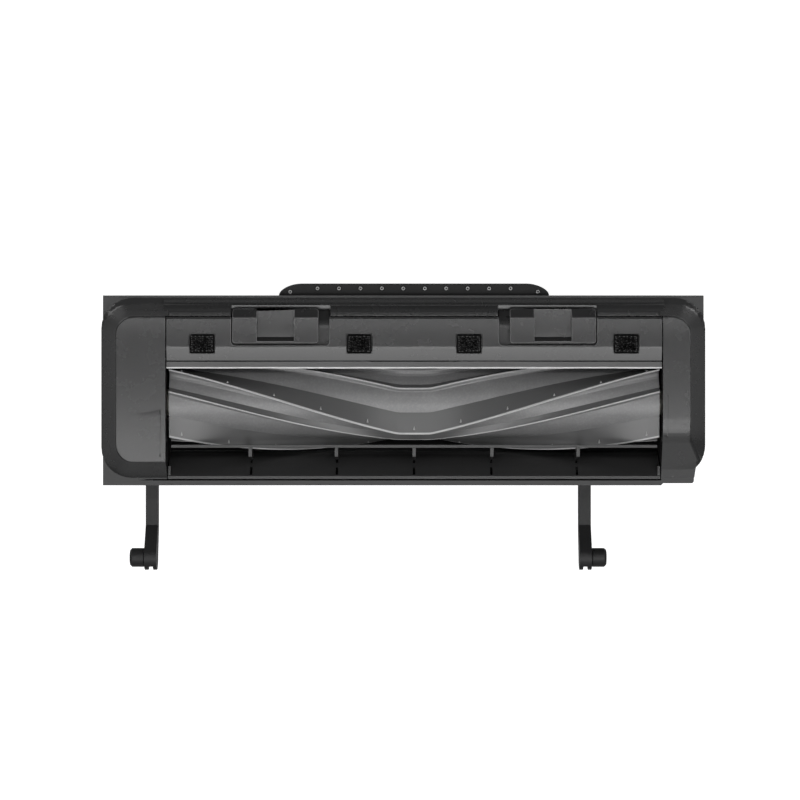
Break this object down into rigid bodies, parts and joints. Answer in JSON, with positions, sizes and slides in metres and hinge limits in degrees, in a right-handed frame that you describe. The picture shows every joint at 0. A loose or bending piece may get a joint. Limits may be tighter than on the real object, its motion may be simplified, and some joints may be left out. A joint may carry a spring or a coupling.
{
  "type": "robot vacuum floating main brush module",
  "caption": "Floating main brush module: finned rubber roller in a chamber, lift-off cover with finger latches, intake guard, gear drive, suction duct and swing arms.",
  "frame": {"origin": "centre of the footprint on the surface the module lies on, on its back with the brush up", "axes": "+X along the brush away from the gearbox, +Y towards the suction duct, +Z out of the brush opening"},
  "size_m": [0.2294, 0.1098, 0.0442],
  "materials": {
    "body_plastic": "fine moulded texture",
    "lower_plastic": "fine moulded texture",
    "brush_rubber": "satin moulded rubber",
    "seal_rubber": "matte moulded rubber",
    "pile_fabric": "short pile",
    "gear_plastic": "natural acetal",
    "steel": "zinc plated",
    "bronze": "sintered or cut metal",
    "insulator": "moulded insulator"
  },
  "bodies": {
    "module": {"main_frame": "body_plastic", "brush_chamber": "lower_plastic", "duct_seal": "seal_rubber", "intake_guard": "body_plastic", "gearbox_housing": "lower_plastic", "bearing_block": "lower_plastic", "output_bearing": "bronze", "end_bearing": "bronze", "idler_axle": "steel", "motor_can": "steel", "motor_magnet_front": "lower_plastic", "motor_magnet_rear": "lower_plastic", "motor_end_cap": "insulator", "motor_terminal_front": "bronze", "motor_terminal_rear": "bronze", "motor_screw_1": "steel", "motor_screw_2": "steel", "swing_arm_left": "lower_plastic", "swing_arm_right": "lower_plastic", "arm_screw_1": "steel", "arm_screw_2": "steel", "housing_screw_1": "steel", "housing_screw_2": "steel", "housing_screw_3": "steel", "housing_screw_4": "steel", "deck_screw_1": "steel", "deck_screw_2": "steel", "deck_screw_3": "steel", "deck_screw_4": "steel"},
    "cover": {"brush_cover": "body_plastic", "wiper_strip": "brush_rubber", "glide_pad_1": "pile_fabric", "glide_pad_2": "pile_fabric", "glide_pad_3": "pile_fabric", "glide_pad_4": "pile_fabric"},
    "latch_left": {"latch_left": "body_plastic", "latch_spring_left": "steel"},
    "latch_right": {"latch_right": "body_plastic", "latch_spring_right": "steel"},
    "brush": {"brush_core": "lower_plastic", "brush_sleeve": "brush_rubber", "drive_plug": "gear_plastic", "bearing_plug": "gear_plastic"},
    "output": {"output_gear": "gear_plastic"},
    "idler": {"idler_gear": "gear_plastic"},
    "rotor": {"motor_shaft": "steel", "motor_armature": "steel", "motor_pinion": "bronze"},
    "pivot_left": {"pivot_bush_left": "lower_plastic"},
    "pivot_right": {"pivot_bush_right": "lower_plastic"}
  },
  "joints": [
    {"name": "cover_lift", "type": "slide", "parent": "module", "child": "cover", "axis": [0, 0, 1], "range_m": [0, 0.02]},
    {"name": "latch_left_slide", "type": "slide", "parent": "cover", "child": "latch_left", "axis": [1, 0, 0], "range_m": [0, 0.0038], "stiffness_N_per_m": 200, "springref_m": -0.003},
    {"name": "latch_right_slide", "type": "slide", "parent": "cover", "child": "latch_right", "axis": [-1, 0, 0], "range_m": [0, 0.0038], "stiffness_N_per_m": 200, "springref_m": -0.003},
    {"name": "brush_spin", "type": "hinge", "parent": "module", "child": "brush", "pos_m": [0.0041, 0.00965, 0.026], "axis": [1, 0, 0], "continuous": true},
    {"name": "output_spin", "type": "hinge", "parent": "module", "child": "output", "pos_m": [-0.10665, 0.00965, 0.026], "axis": [1, 0, 0], "continuous": true},
    {"name": "idler_spin", "type": "hinge", "parent": "module", "child": "idler", "pos_m": [-0.11125, 0.02213, 0.01567], "axis": [1, 0, 0], "continuous": true},
    {"name": "rotor_spin", "type": "hinge", "parent": "module", "child": "rotor", "pos_m": [-0.11125, 0.03715, 0.0096], "axis": [1, 0, 0], "continuous": true},
    {"name": "pivot_left_swing", "type": "hinge", "parent": "module", "child": "pivot_left", "pos_m": [-0.09865, -0.05015, 0.0205], "axis": [1, 0, 0], "range_deg": [-5, 10]},
    {"name": "pivot_right_swing", "type": "hinge", "parent": "module", "child": "pivot_right", "pos_m": [0.07185, -0.05015, 0.0205], "axis": [1, 0, 0], "range_deg": [-5, 10]}
  ],
  "couplings": [
    {"joint": "output_spin", "follows": "brush_spin", "ratio": 1},
    {"joint": "idler_spin", "follows": "brush_spin", "ratio": -2.8333},
    {"joint": "rotor_spin", "follows": "brush_spin", "ratio": 8.0278},
    {"joint": "pivot_right_swing", "follows": "pivot_left_swing", "ratio": 1}
  ]
}
